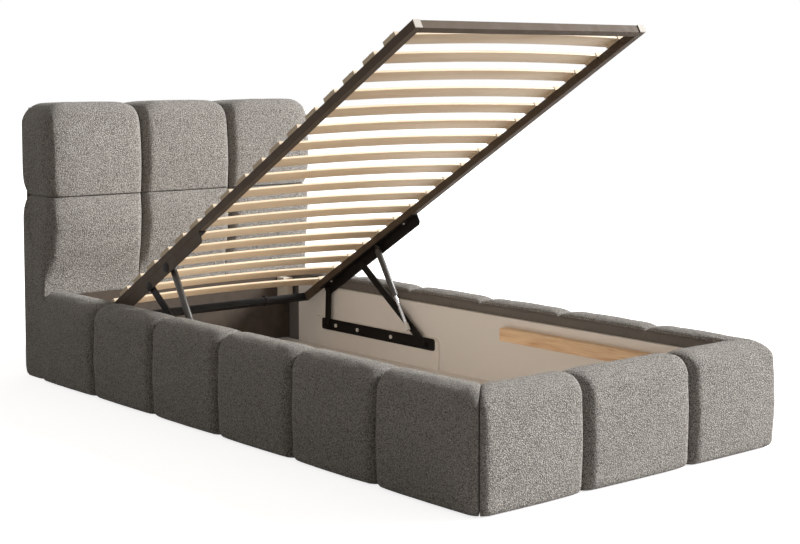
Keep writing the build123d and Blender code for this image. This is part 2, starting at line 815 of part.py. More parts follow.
def make_gas_springs():
    bore = gas_body_radius - gas_body_wall
    for side, sign in side_signs.items():
        x = sign * gas_x
        body = rod_y(x, gas_body_start, gas_body_end, gas_body_radius)
        body = body - rod_y(x, gas_body_start + gas_end_wall, gas_body_end - gas_end_wall, bore)
        opening = gas_body_end + gas_end_wall
        body = body - rod_y(x, gas_body_end - 2 * gas_end_wall, opening, gas_rod_radius + running_clearance)
        xs = side_x(sign, gas_x - gas_eye_width / 2, gas_x + gas_eye_width / 2)
        neck = block((xs[0], 0, -gas_stud_head_radius), (xs[1], gas_body_start, gas_stud_head_radius))
        eye = neck + rod_x(0, 0, *xs, gas_eye_radius)
        eye = eye - rod_x(0, 0, xs[0] - gas_eye_width, xs[1] + gas_eye_width, gas_stud_radius + running_clearance)
        save(place_gas(body + eye), f"gas_cylinder_{side}")
        fitting_start = gas_length - gas_fitting_length + gas_fitting_radius
        inner_end = gas_body_end - gas_end_wall - gas_rod_overlap
        rod = rod_y(x, inner_end, fitting_start, gas_rod_radius)
        piston = rod_y(x, inner_end, inner_end + gas_piston_length, bore - running_clearance)
        save(place_gas(rod + piston), f"gas_rod_{side}")
        fitting = rod_y(x, fitting_start, gas_length + gas_fitting_radius, gas_fitting_radius)
        save(place_gas(fitting), f"gas_fitting_{side}")


def closed_report():
    """Prints the joints' places and travels, which the closed pose gives."""
    shut_rear = moved(closed_corner, rear_hole)
    shut_front = moved(closed_corner, front_hole)
    rear_turn = heading(rear_pivot, shut_rear) - heading(rear_pivot, upper_rear)
    front_turn = heading(front_pivot, shut_front) - heading(front_pivot, upper_front)
    shut_gas_top = moved(closed_corner, gas_hole)
    shut_foot = (
        front_pivot[0] + (shut_front[0] - front_pivot[0]) * gas_foot_share,
        front_pivot[1] + (shut_front[1] - front_pivot[1]) * gas_foot_share,
    )
    gas_turn = heading(shut_gas_top, shut_foot) - heading(gas_top, gas_foot)
    gas_turn = (gas_turn + 180) % 360 - 180
    print("pivots", rear_pivot, front_pivot, upper_rear, upper_front, gas_top, gas_foot)
    print("turns", rear_turn, front_turn, open_tilt, gas_turn)
    print("gas", gas_length, math.dist(shut_gas_top, shut_foot), "closed corner", closed_corner, "open", corner)
    print("overall length", overall_length, "foot seam", foot_seam_y, "rail end", rail_end_y)


os.makedirs("parts", exist_ok=True)
closed_report()
make_side_cushions()
make_foot_cushions()
make_headboard()
make_rails()
make_lining()
make_floor()
make_posts_and_rests()
make_hinge_plates()
make_front_links()
make_rear_links()
make_platform_tubes()
make_slats()
make_hinge_angles()
make_gas_springs()
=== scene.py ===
# %% [markdown]
# # An upholstered storage bed with its platform up
# The bed stands open: padded rails round a storage box, a tall padded headboard, and a slatted
# platform held up by two gas springs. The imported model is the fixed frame, in metres, with its
# origin on the floor in the middle of the bed. Everything below is dressed round that frame, so a
# piece goes where the frame says and is never moved to fit the picture.

import json
import math

import bmesh
import bpy
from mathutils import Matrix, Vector, noise


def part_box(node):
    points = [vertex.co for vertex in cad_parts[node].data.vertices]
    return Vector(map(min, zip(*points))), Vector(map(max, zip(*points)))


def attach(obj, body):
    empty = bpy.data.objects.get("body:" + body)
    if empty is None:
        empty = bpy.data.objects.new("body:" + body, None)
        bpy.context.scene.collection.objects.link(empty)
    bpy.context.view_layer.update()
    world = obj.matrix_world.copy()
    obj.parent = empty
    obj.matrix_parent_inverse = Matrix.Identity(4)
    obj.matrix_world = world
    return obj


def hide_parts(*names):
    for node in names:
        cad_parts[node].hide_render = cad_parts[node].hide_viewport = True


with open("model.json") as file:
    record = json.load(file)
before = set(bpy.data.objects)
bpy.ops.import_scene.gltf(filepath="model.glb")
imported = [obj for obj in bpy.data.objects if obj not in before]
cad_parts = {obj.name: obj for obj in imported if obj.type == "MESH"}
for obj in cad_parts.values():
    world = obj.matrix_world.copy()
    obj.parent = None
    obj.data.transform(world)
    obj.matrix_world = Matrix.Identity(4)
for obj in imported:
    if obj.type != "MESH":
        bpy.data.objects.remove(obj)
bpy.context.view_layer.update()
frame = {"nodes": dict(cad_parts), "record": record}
nodes = frame["nodes"]
slot_of = {part["node"]: part["material_slot"] for part in frame["record"]["subparts"]}

# %% [markdown]
# ## The camera
# The picture was taken from low down at the foot's left corner, with upright edges kept upright.
# A level camera with a large lens shift would do that, but it would push the bed out of other
# views. So about half of it is a tilt of the camera, which moves no point by more than about 3
# pixels.

# %% Camera
tilt_down, turn_right = 3.942, 40.861
camera_data = bpy.data.cameras.new("camera")
camera_data.lens = 71.54
camera_data.sensor_width = 36
camera_data.shift_x = -0.0456
camera_data.shift_y = -0.12
camera = bpy.data.objects.new("camera", camera_data)
camera.location = (-3.1402, -4.0072, 1.1009)
camera.rotation_euler = (math.radians(90 - tilt_down), 0, math.radians(-turn_right))
bpy.context.scene.collection.objects.link(camera)
bpy.context.scene.camera = camera
print("camera", [round(v, 3) for v in camera.location])

# %% [markdown]
# ## Colours and small node helpers
# A colour is written as the photograph shows it, from 0 to 255, and turned into the linear values
# that Blender's sockets take. The helpers add one node, join two sockets and mix two colours, so
# that each finish further down reads as a short recipe.

# %% Colour and node helpers
def linear(red, green, blue):
    """A colour from 0 to 255, as the linear values that a socket takes."""
    shares = [v / 255 for v in (red, green, blue)]
    return (*[v / 12.92 if v <= 0.04045 else ((v + 0.055) / 1.055) ** 2.4 for v in shares], 1)


def give(tree, socket, value):
    """Joins the socket to another one, or sets it to a number or colour."""
    if isinstance(value, bpy.types.NodeSocket):
        tree.links.new(value, socket)
    else:
        socket.default_value = value


def add(tree, kind, settings=None, **inputs):
    """One node. An input is named by its title, or by i and its number."""
    node = tree.nodes.new("ShaderNode" + kind)
    for key, value in (settings or {}).items():
        setattr(node, key, value)
    for key, value in inputs.items():
        title = int(key[1:]) if key[1:].isdigit() else key.replace("_", " ")
        give(tree, node.inputs[title], value)
    return node


def math_node(tree, operation, first, second=0.0, clamp=False):
    return add(tree, "Math", {"operation": operation, "use_clamp": clamp}, i0=first, i1=second).outputs[0]


def times(tree, first, second):
    return math_node(tree, "MULTIPLY", first, second)


def vector_node(tree, operation, first, second):
    return add(tree, "VectorMath", {"operation": operation}, i0=first, i1=second).outputs[0]


def scaled(tree, vector, factor):
    return add(tree, "VectorMath", {"operation": "SCALE"}, i0=vector, Scale=factor).outputs[0]


def noise_at(tree, place, scale, detail):
    return add(tree, "TexNoise", i0=place, Scale=scale, Detail=detail).outputs[0]


def mix_colour(tree, share, first, second, blend="MIX"):
    node = add(tree, "Mix", {"data_type": "RGBA", "blend_type": blend}, i0=share, i6=first, i7=second)
    return node.outputs[2]


def carry(tree, value, span, onto):
    """A value carried from one span onto another, and kept within it."""
    return add(tree, "MapRange", i0=value, i1=span[0], i2=span[1], i3=onto[0], i4=onto[1]).outputs[0]


def ramp(tree, value, low, high):
    """A value stretched so that low becomes 0 and high becomes 1, kept between them."""
    return carry(tree, value, (low, high), (0.0, 1.0))


def grey(tree, value):
    return add(tree, "CombineColor", i0=value, i1=value, i2=value).outputs[0]


def part_of(tree, vector, axis):
    return add(tree, "SeparateXYZ", i0=vector).outputs[axis]


def new_group(name, sockets_in, sockets_out):
    """An empty node group with named sockets, its input node and its output node."""
    group = bpy.data.node_groups.new(name, "ShaderNodeTree")
    for title, kind, value in sockets_in:
        socket = group.interface.new_socket(title, in_out="INPUT", socket_type="NodeSocket" + kind)
        if value is not None:
            socket.default_value = value
    for title, kind in sockets_out:
        group.interface.new_socket(title, in_out="OUTPUT", socket_type="NodeSocket" + kind)
    start = group.nodes.new("NodeGroupInput")
    end = group.nodes.new("NodeGroupOutput")
    return group, start.outputs, end.inputs


print("helpers ready")

# %% [markdown]
# ## Looped yarn
# The cover is a bouclé: short loops of pale yarn over a darker ground, which lie in slanting rows.
# At this distance it reads as a salt-and-pepper of light dots and dark gaps. Rounded cells at two
# sizes give the loops. They are squeezed along one slanting direction, so that on every face of the
# bed the rows run down to one side. The height drives the bump, and the depth drives the colour.

# %% Looped yarn group
slant = (0.577, 0.577, -0.577)
slant_squeeze = -0.62
sway_reach = 0.006
finer_loops = 1.9
loop_span = (0.66, 0.1)
fuzz_height = 0.2
tree, given, made = new_group(
    "looped yarn",
    [
        ("Vector", "Vector", None),
        ("Yarn", "Color", linear(200, 195, 188)),
        ("Ground", "Color", linear(66, 60, 55)),
        ("Loops per metre", "Float", 315.0),
    ],
    [("Color", "Color"), ("Height", "Float")],
)
spot = given["Vector"]
along_slant = add(tree, "VectorMath", {"operation": "DOT_PRODUCT"}, i0=spot, i1=slant)
squeeze = times(tree, along_slant.outputs["Value"], slant_squeeze)
rows = vector_node(tree, "ADD", spot, scaled(tree, slant, squeeze))
sway = add(tree, "TexNoise", i0=spot, Scale=70.0, Detail=2.0).outputs[1]
sway = vector_node(tree, "SUBTRACT", sway, (0.5, 0.5, 0.5))
bent = vector_node(tree, "ADD", rows, scaled(tree, sway, sway_reach))
large = add(tree, "TexVoronoi", Vector=bent, Scale=given["Loops per metre"])
finer = times(tree, given["Loops per metre"], finer_loops)
small = add(tree, "TexVoronoi", Vector=bent, Scale=finer)
large_loop = ramp(tree, large.outputs["Distance"], *loop_span)
small_loop = ramp(tree, small.outputs["Distance"], *loop_span)
small_loop = times(tree, small_loop, 0.7)
loops = math_node(tree, "MAXIMUM", large_loop, small_loop)
fuzz = noise_at(tree, spot, 1400.0, 2.0)
height = math_node(tree, "ADD", loops, times(tree, fuzz, fuzz_height))
patches = noise_at(tree, spot, 9.0, 3.0)
patches = carry(tree, patches, (0.3, 0.7), (0.95, 1.05))
tuft = add(tree, "SeparateColor", i0=large.outputs["Color"]).outputs[0]
tuft = carry(tree, tuft, (0.0, 1.0), (0.8, 1.14))
depth_share = math_node(tree, "POWER", ramp(tree, height, 0.08, 0.95), 0.85)
colour = mix_colour(tree, depth_share, given["Ground"], given["Yarn"])
shade = times(tree, patches, tuft)
colour = mix_colour(tree, 1.0, colour, grey(tree, shade), "MULTIPLY")
tree.links.new(colour, made["Color"])
tree.links.new(height, made["Height"])
looped_yarn = tree
print("group", tree.name, len(tree.nodes), "nodes")

# %% [markdown]
# ## Wood grain
# The slats are birch ply, and the rests and posts are pine. Both show long soft bands along the
# piece and fine dark pores. Stretching a noise along the grain gives both: a slow one bends the
# bands, and a fast one makes the pores. Each material turns the pattern with its own Mapping node.

# %% Wood grain group
band_stretch = (0.12, 1, 1)
pore_stretch = (0.03, 1, 1)
tree, given, made = new_group(
    "wood grain",
    [
        ("Vector", "Vector", None),
        ("Light", "Color", linear(214, 188, 152)),
        ("Dark", "Color", linear(176, 140, 100)),
        ("Bands", "Float", 60.0),
        ("Pores", "Float", 0.3),
    ],
    [("Color", "Color"), ("Height", "Float"), ("Roughness", "Float")],
)
stretched = vector_node(tree, "MULTIPLY", given["Vector"], band_stretch)
flow = add(tree, "TexNoise", i0=stretched, Scale=9.0, Detail=3.0, Roughness=0.45).outputs[0]
rings = times(tree, flow, given["Bands"])
rings = math_node(tree, "PINGPONG", rings, 1.0)
rings = math_node(tree, "POWER", rings, 1.6)
along = vector_node(tree, "MULTIPLY", given["Vector"], pore_stretch)
pores = noise_at(tree, along, 420.0, 2.0)
pores = ramp(tree, pores, 0.52, 0.74)
share = times(tree, pores, given["Pores"])
share = math_node(tree, "ADD", times(tree, rings, 0.55), share, True)
colour = mix_colour(tree, share, given["Light"], given["Dark"])
broad = noise_at(tree, given["Vector"], 2.2, 2.0)
broad = carry(tree, broad, (0.3, 0.7), (0.92, 1.05))
colour = mix_colour(tree, 1.0, colour, grey(tree, broad), "MULTIPLY")
rough = carry(tree, share, (0.0, 1.0), (0.42, 0.62))
tree.links.new(colour, made["Color"])
tree.links.new(math_node(tree, "SUBTRACT", 1.0, share), made["Height"])
tree.links.new(rough, made["Roughness"])
wood_grain = tree
print("group", tree.name, len(tree.nodes), "nodes")

# %% [markdown]
# ## Handling marks
# Painted steel, plastic and coated board are never one flat colour: edges are rubbed paler, and
# dust settles on what faces up. The bevel node finds the edges, noise breaks the rubbing up, and
# the upward part of the normal places the dust.

# %% Handling marks group
dust_colour = linear(196, 190, 180)
grime_roughness = 0.14
dust_roughness = 0.5
tree, given, made = new_group(
    "handling marks",
    [
        ("Vector", "Vector", None),
        ("Color", "Color", (0.5, 0.5, 0.5, 1)),
        ("Rubbed", "Color", (0.6, 0.6, 0.6, 1)),
        ("Edge width", "Float", 0.001),
        ("Rub", "Float", 0.5),
        ("Dust", "Float", 0.1),
        ("Gloss", "Float", 0.4),
        ("Spots", "Float", 500.0),
    ],
    [("Color", "Color"), ("Roughness", "Float"), ("Height", "Float")],
)
rounded = add(tree, "Bevel", {"samples": 4}, Radius=given["Edge width"]).outputs[0]
facing = add(tree, "NewGeometry").outputs["Normal"]
match = add(tree, "VectorMath", {"operation": "DOT_PRODUCT"}, i0=rounded, i1=facing).outputs["Value"]
edge = ramp(tree, match, 0.985, 0.9)
grime = noise_at(tree, given["Vector"], 38.0, 4.0)
edge = times(tree, edge, ramp(tree, grime, 0.4, 0.62))
edge = times(tree, edge, given["Rub"])
colour = mix_colour(tree, edge, given["Color"], given["Rubbed"])
settled = ramp(tree, part_of(tree, facing, 2), 0.3, 1.0)
cloud = noise_at(tree, given["Vector"], 11.0, 5.0)
settled = times(tree, settled, ramp(tree, cloud, 0.35, 0.7))
settled = times(tree, settled, given["Dust"])
colour = mix_colour(tree, settled, colour, dust_colour)
speck = noise_at(tree, given["Vector"], given["Spots"], 2.0)
tone = carry(tree, speck, (0.3, 0.7), (0.93, 1.07))
colour = mix_colour(tree, 1.0, colour, grey(tree, tone), "MULTIPLY")
dulled = times(tree, ramp(tree, grime, 0.3, 0.75), grime_roughness)
rough = math_node(tree, "ADD", given["Gloss"], dulled)
dusty = times(tree, settled, dust_roughness)
rough = math_node(tree, "ADD", rough, dusty, True)
tree.links.new(colour, made["Color"])
tree.links.new(rough, made["Roughness"])
tree.links.new(speck, made["Height"])
handling = tree
print("group", tree.name, len(tree.nodes), "nodes")

# %% [markdown]
# ## The finishes
# Each finish is one material, most of them under the name of the record's slot. All patterns
# follow the piece's own coordinates, so they stay on it when it moves. A constant such as a
# cloth's roughness sits on the shader itself, and a group only gives what changes from place to
# place.

# %% Start of a material
materials = {}


def start_material(name, **shader_values):
    """A new material, its node tree, its shader and the object coordinates."""
    material = bpy.data.materials.new(name)
    material.use_nodes = True
    tree = material.node_tree
    shader = tree.nodes["Principled BSDF"]
    for key, value in shader_values.items():
        shader.inputs[key.replace("_", " ")].default_value = value
    place = tree.nodes.new("ShaderNodeTexCoord").outputs["Object"]
    materials[name] = material
    return tree, shader, place


def use_group(tree, group, **inputs):
    node = tree.nodes.new("ShaderNodeGroup")
    node.node_tree = group
    for key, value in inputs.items():
        give(tree, node.inputs[key.replace("_", " ")], value)
    return node.outputs


def bump(tree, shader, height, strength, distance):
    node = add(tree, "Bump", Strength=strength, Distance=distance, Height=height)
    tree.links.new(node.outputs[0], shader.inputs["Normal"])


print("ready for the finishes")

# %% [markdown]
# The cover's loops stand up about 3 mm and scatter the light, so it is rough all over. The short
# fibres that stick out catch light from the side, which the sheen gives.

# %% Bouclé
tree, shader, place = start_material("boucle", Roughness=0.95, Sheen_Weight=0.15, Sheen_Roughness=0.5)
yarn = use_group(tree, looped_yarn, Vector=place)
tree.links.new(yarn["Color"], shader.inputs["Base Color"])
bump(tree, shader, yarn["Height"], 1.0, 0.003)
print("made", "boucle")

# %% [markdown]
# The headboard's back and the inside of the rails have a thin grey cloth. Its threads are finer
# than a pixel here, so two crossing waves with a little unevenness are enough for the weave.

# %% Thin cloths
def woven_material(name, colour, other, threads, rough):
    """A plain weave: fine crossing ridges in two colours, made uneven by noise."""
    tree, shader, place = start_material(name, Roughness=rough, Sheen_Weight=0.15)
    parts = add(tree, "SeparateXYZ", i0=place).outputs
    level = math_node(tree, "ADD", parts[0], parts[1])
    across = math_node(tree, "SINE", times(tree, level, threads))
    upright = math_node(tree, "SINE", times(tree, parts[2], threads))
    weave = times(tree, across, upright)
    uneven = noise_at(tree, place, 60.0, 4.0)
    share = ramp(tree, math_node(tree, "ADD", weave, uneven), -0.4, 1.4)
    tree.links.new(mix_colour(tree, share, colour, other), shader.inputs["Base Color"])
    bump(tree, shader, weave, 0.35, 0.0004)
    print("made", name)


woven_material("back_cloth", linear(96, 92, 88), linear(128, 124, 119), 2600.0, 0.9)
woven_material("lining_cloth", linear(92, 87, 82), linear(124, 118, 111), 3400.0, 0.85)

# %% [markdown]
# The slats are pale birch, the rests a warm pine and the posts a paler one, each with its grain
# along its length. The box's own boards get a much darker colour than their wood, as painted
# shade for the head board, which lies in deep shadow. A thin clear coat gives the soft shine of
# planed wood.

# %% Woods
def wood_material(name, turn, light, dark, bands, pores):
    """Grain that runs along X before the turn, in degrees about X, Y and Z."""
    tree, shader, place = start_material(name, Coat_Weight=0.08, Coat_Roughness=0.35)
    angles = tuple(math.radians(v) for v in turn)
    turned = add(tree, "Mapping", Vector=place, Rotation=angles).outputs[0]
    grain = use_group(tree, wood_grain, Vector=turned, Light=light, Dark=dark, Bands=bands, Pores=pores)
    tree.links.new(grain["Color"], shader.inputs["Base Color"])
    tree.links.new(grain["Roughness"], shader.inputs["Roughness"])
    bump(tree, shader, grain["Height"], 0.25, 0.0006)
    print("made", name)


along_bed, along_height, across_bed = (0, 0, 90), (0, 90, 0), (0, 0, 0)
wood_material("birch", across_bed, linear(224, 200, 168), linear(202, 173, 138), 5.0, 0.3)
wood_material("pine", along_bed, linear(246, 212, 170), linear(206, 150, 96), 20.0, 0.6)
wood_material("pale_pine", along_height, linear(240, 230, 214), linear(222, 206, 184), 9.0, 0.3)
# painted shade: the boards' colour is set far darker than the wood to stand for the shadow on the head board
wood_material("board", along_bed, linear(78, 67, 57), linear(56, 47, 39), 7.0, 0.5)

# %% [markdown]
# Paint, plastic, zinc and the white laminate share the handling marks with their own colour, gloss
# and spot size. The angle irons under the platform look black, but their outer flange shows the
# brown of the tubes, so one mask on the outward faces mixes the tube's colour in.

# %% Coated, painted and moulded finishes
def coated_material(name, colour, rubbed, gloss, metal=0.0, shine=0.5, depth=0.0003, **marks_given):
    """One finish with handling marks. Returns its tree, its coordinates and its colour socket."""
    tree, shader, place = start_material(name, Metallic=metal, Specular_IOR_Level=shine)
    values = {"Rub": 0.4, "Dust": 0.1, "Edge_width": 0.001, "Spots": 500.0, **marks_given}
    marks = use_group(
        tree, handling, Vector=place, Color=colour, Rubbed=rubbed, Gloss=gloss, **values
    )
    tree.links.new(marks["Color"], shader.inputs["Base Color"])
    tree.links.new(marks["Roughness"], shader.inputs["Roughness"])
    bump(tree, shader, marks["Height"], 0.3, depth)
    print("made", name)
    return tree, place, marks["Color"].node.inputs["Color"]


tube_brown, rubbed_brown = linear(84, 71, 59), linear(136, 124, 110)
black, rubbed_black = linear(24, 21, 19), linear(92, 88, 84)
white, rubbed_white = linear(240, 235, 229), linear(206, 188, 164)
matt_steel = {"shine": 0.14, "Rub": 0.35, "Spots": 1100.0}
coated_material("laminate", white, rubbed_white, 0.45, depth=0.0001, Rub=0.5, Dust=0.05, Spots=1200.0)
coated_material("holder_plastic", linear(214, 196, 170), linear(226, 214, 196), 0.6, Spots=900.0)
coated_material("dark_plastic", linear(168, 162, 153), linear(196, 190, 182), 0.5, Spots=900.0)
coated_material("tube_paint", tube_brown, rubbed_brown, 0.5, Dust=0.06, **matt_steel)
coated_material("mechanism_paint", black, rubbed_black, 0.5, Dust=0.03, **matt_steel)
tree, place, paint = coated_material("angle_paint", black, rubbed_black, 0.5, Dust=0.03, **matt_steel)
facing = part_of(tree, add(tree, "NewGeometry").outputs["Normal"], 0)
outward = times(tree, facing, part_of(tree, place, 0))
outer_flange = ramp(tree, outward, 0.38, 0.42)
tree.links.new(mix_colour(tree, outer_flange, black, tube_brown), paint)
coated_material("bolt_zinc", linear(228, 225, 219), linear(244, 244, 242), 0.35, 0.25, Spots=1500.0)
coated_material("gas_paint", linear(58, 54, 50), linear(120, 116, 112), 0.32, Spots=900.0)
chrome, rubbed_chrome = linear(214, 214, 216), linear(240, 240, 240)
coated_material("rod_chrome", chrome, rubbed_chrome, 0.12, 1.0, depth=0.0001, Rub=0.1, Dust=0.0, Spots=1500.0)
coated_material("fitting_plastic", linear(224, 222, 216), linear(240, 240, 236), 0.45, Spots=900.0)

# %% [markdown]
# ## Dress the rigid pieces
# Boards, tubes, links and slats keep the frame's shapes. A weld joins their loose triangles, and a
# fine bevel gives their edges the small round that sawn board and pressed steel have.

# %% Dress the frame's own pieces
edge_round = {
    "laminate": 0.0007, "board": 0.001, "pine": 0.0016, "birch": 0.002, "back_cloth": 0.002,
    "tube_paint": 0.0018, "mechanism_paint": 0.0009, "lining_cloth": 0.0003,
    "holder_plastic": 0.0006, "gas_paint": 0.0008, "fitting_plastic": 0.0009, "bolt_zinc": 0.0008,
}
own_finish = {
    "hinge_angle_left": "angle_paint", "hinge_angle_right": "angle_paint",
    "head_tube": "mechanism_paint", "corner_posts": "pale_pine",
}
weld_distance = 0.00002
sharp_from = math.radians(40)
dressed = 0
for name, piece in nodes.items():
    if "cushion" in name:
        continue
    finish = slot_of[name]
    for held in piece.material_slots:
        held.material = materials[own_finish.get(name, finish)]
    weld = piece.modifiers.new("join triangles", "WELD")
    weld.merge_threshold = weld_distance
    width = edge_round.get(finish)
    if width:
        rounding = piece.modifiers.new("edge round", "BEVEL")
        rounding.width = width
        rounding.segments = 2
        rounding.limit_method = "ANGLE"
        rounding.angle_limit = sharp_from
        rounding.use_clamp_overlap = True
    dressed += 1
print("dressed", dressed, "frame pieces")

# %% [markdown]
# ## The cushions
# Each cushion is a foam block under a cover that is drawn in at its seams. Its outline is taken
# across its length: up the back, over the board, round the top edge, down a slightly full face and
# under. The outline is small at a seam and swells within a hand's width to its full size, so the
# form is drawn as a run of outlines, and the cover is then filled by a short cloth simulation.

# %% Outline pieces
def between(pair, share):
    """From the first number of the pair at share 0 to the second at share 1."""
    return pair[0] + (pair[1] - pair[0]) * share


def line(points, start, end, steps, held):
    """Points from start up to but not including end; held points stay where they are."""
    for step in range(steps):
        t = step / steps
        points.append((between((start[0], end[0]), t), between((start[1], end[1]), t), held))


def bend(points, centre, radii, start, end, steps):
    """Points round a corner, between two angles in degrees, with an outward and an upward radius."""
    for step in range(steps):
        a = math.radians(start + (end - start) * step / steps)
        points.append((centre[0] + radii[0] * math.cos(a), centre[1] + radii[1] * math.sin(a), False))


def face(points, depth, belly, top, bottom, steps):
    """The cushion's outer face, a little full between its top and bottom edges."""
    for step in range(steps):
        t = step / steps
        points.append((depth + belly * math.sin(math.pi * t), between((top, bottom), t), False))


def quarter(t):
    """From 0 to 1 along a quarter of an ellipse, steep at first, and 1 from there on."""
    return 1.0 if t >= 1 else math.sqrt(1 - (1 - t) ** 2)


def over_seam(share, length, reach):
    """0 at either seam and 1 from the reach onwards."""
    return quarter(min(share, 1 - share) * length / reach)


def crown_at(share):
    """0 at either seam and 1 in the middle, along a shallow arch."""
    return 1 - (2 * share - 1) ** 2


print("outline helpers ready")

# %% [markdown]
# A rail cushion is about 50 mm thick at its seams, which lie 373 mm apart, and about 100 mm
# between them. Its top rises there too and rolls over the board's edge. A pair below gives a
# measure at the seam and where the cushion is full.

# %% Rail cushion outlines
seam_depth = 0.050
side_run, corner_run = 0.373, 0.41
depth_reach, height_reach = 0.029, 0.060
rail_depth, rail_belly = (0.057, 0.092), (0.001, 0.005)
rail_low, rail_high = (0.0035, 0.0010), (0.2985, 0.3115)
under_out, under_up = (0.022, 0.018), (0.045, 0.019)
over_out, over_up = (0.044, 0.058), (0.078, 0.044)
rail_back = (0.2980, 0.3090)
depth_crown, height_crown, top_rise = 0.004, 0.002, 0.0015
board_top, board_cover = 0.2963, 0.018
inner_out, inner_round, inner_limit, inner_gap = 0.010, 0.008, 0.010, 0.0005
corner_depth, corner_start, corner_reach = (0.12, 1.0), 0.012, 0.056
corner_height, corner_rise = 0.84, 0.25
seam_pinch, pinch_reach = 0.10, 0.008
head_swell, head_reach = (0.05, 1.0), 0.030


def rail_section(depth_share, height_share, crown):
    """Outline of a rail cushion, as outward and upward distances from its board's face."""
    depth = between(rail_depth, depth_share) + depth_crown * crown
    belly = between(rail_belly, depth_share)
    low = between(rail_low, height_share)
    high = between(rail_high, height_share) + height_crown * crown
    under = (between(under_out, height_share), between(under_up, height_share))
    over = (between(over_out, height_share), between(over_up, height_share))
    back_top = between(rail_back, height_share)
    edge = min(inner_limit, back_top - board_top - inner_gap)
    points = []
    line(points, (0, low), (0, board_top), 9, True)
    line(points, (0, board_top), (-board_cover, board_top), 2, True)
    line(points, (-board_cover, board_top), (-board_cover, back_top - edge), 2, True)
    bend(points, (-inner_out, back_top - edge), (inner_round, edge), 180, 90, 3)
    for step in range(6):
        t = step / 6
        up = between((back_top, high), t) + top_rise * math.sin(math.pi * t)
        points.append((between((-inner_out, depth - over[0]), t), up, False))
    bend(points, (depth - over[0], high - over[1]), over, 90, 0, 9)
    face(points, depth, belly, high - over[1], low + under[1], 14)
    bend(points, (depth - under[0], low + under[1]), under, 0, -90, 7)
    line(points, (depth - under[0], low), (0, low), 4, True)
    return points


def rail_outline(share, length=side_run):
    depth_share = over_seam(share, length, depth_reach)
    height_share = over_seam(share, length, height_reach)
    return rail_section(depth_share, height_share, crown_at(share))


def corner_outline(share):
    """At the foot corner the cushion only bends round, and a thin seam closes it."""
    if share > 0.5:
        return rail_outline(share, corner_run)
    run = corner_run * share
    bent = between(corner_depth, quarter((corner_start + run) / corner_reach))
    raised = min(1.0, corner_height + run / corner_rise)
    pinch = seam_pinch * max(0.0, 1 - run / pinch_reach) ** 2
    return rail_section(bent - pinch, raised - pinch, crown_at(share))


def head_end_outline(share):
    """The last side cushion butts against the headboard, so its head end is hardly drawn in."""
    if share < 0.5:
        return rail_outline(share)
    run = side_run * (1 - share)
    swell = between(head_swell, quarter(run / head_reach))
    return rail_section(swell, swell, crown_at(share))


print("rail outline", len(rail_outline(0.5)), "points")

# %% [markdown]
# The headboard has two rows of three columns. The upper row rolls over the top, and the lower row
# thins out above the rails and runs on to the floor as a flat skirt. The outer columns bend round
# in a wide curve, and their top corners are rounded off.

# %% Headboard cushion outlines
frame_top, frame_depth = 0.9551, 0.062
row_seam, seam_gap = 0.6462, 0.0004
column_width, column_reach, across_reach = 0.377, 0.031, 0.062
column_depths, column_crown = (0.098, 0.130), 0.006
upper_belly, lower_belly = (0.002, 0.012), (0.002, 0.010)
top_reach, top_heights, top_crown = 0.090, (0.930, 0.970), 0.007
back_heights, back_crown = (0.958, 0.968), 0.005
top_out, top_up, end_up = 0.050, (0.092, 0.052), 0.052
end_width, end_reach, end_heights = 0.381, 0.080, (0.896, 0.970)
seam_out, seam_up, row_round = 0.005, 0.006, 0.005
end_depth, quick_swell, broad_swell = 0.070, 0.045, 0.021
quick_reach, broad_reach = 0.092, 0.5
back_drop, shelf_drop = 0.003, 0.004
skirt, skirt_bottom = 0.0848, 0.0015
low_start, low_end = 0.325, 0.500


def column_depth(share):
    """Depth of a column's face: it swells from the seam and stays a little crowned."""
    swell = over_seam(share, column_width, column_reach)
    return between(column_depths, swell) + column_crown * crown_at(share)


def outer_depth(share):
    """Beside the headboard's end the face bends round first quickly and then in a broad crown."""
    if share < 0.5:
        return column_depth(share)
    quick = over_seam(1 - share, 1.0, quick_reach)
    broad = over_seam(1 - share, 1.0, broad_reach)
    return end_depth + quick_swell * quick + broad_swell * broad


def upper_section(share, wraps, rounded_end=False):
    """Up the frame's front, over its top to the back, and down the padded face."""
    across = over_seam(share, column_width, across_reach)
    crown = crown_at(share)
    depth = outer_depth(share) if rounded_end else column_depth(share)
    belly = between(upper_belly, across)
    low = row_seam + seam_gap
    back = -frame_depth if wraps else 0
    if rounded_end and share > 0.5:
        rise = over_seam(share, end_width, end_reach)
        high = between(end_heights, rise) + top_crown * crown
        back_high, up = high - back_drop, end_up
    else:
        rise = over_seam(share, column_width, top_reach)
        high = between(top_heights, rise) + top_crown * crown
        back_high = between(back_heights, rise) + back_crown * crown
        up = between(top_up, across)
    shelf = min(frame_top, back_high - shelf_drop)
    points = []
    line(points, (back, low), (back, shelf), 8, True)
    line(points, (back, shelf), (-frame_depth, shelf), 3, True)
    line(points, (-frame_depth, shelf), (-frame_depth, back_high), 1, True)
    line(points, (-frame_depth, back_high), (0, back_high), 4, False)
    line(points, (0, back_high), (depth - top_out, high), 4, False)
    bend(points, (depth - top_out, high - up), (top_out, up), 90, 0, 10)
    face(points, depth, belly, high - up, low + seam_up, 16)
    bend(points, (depth - seam_out, low + seam_up), (seam_out, seam_up), 0, -90, 4)
    line(points, (depth - seam_out, low), (back, low), 4, True)
    return points


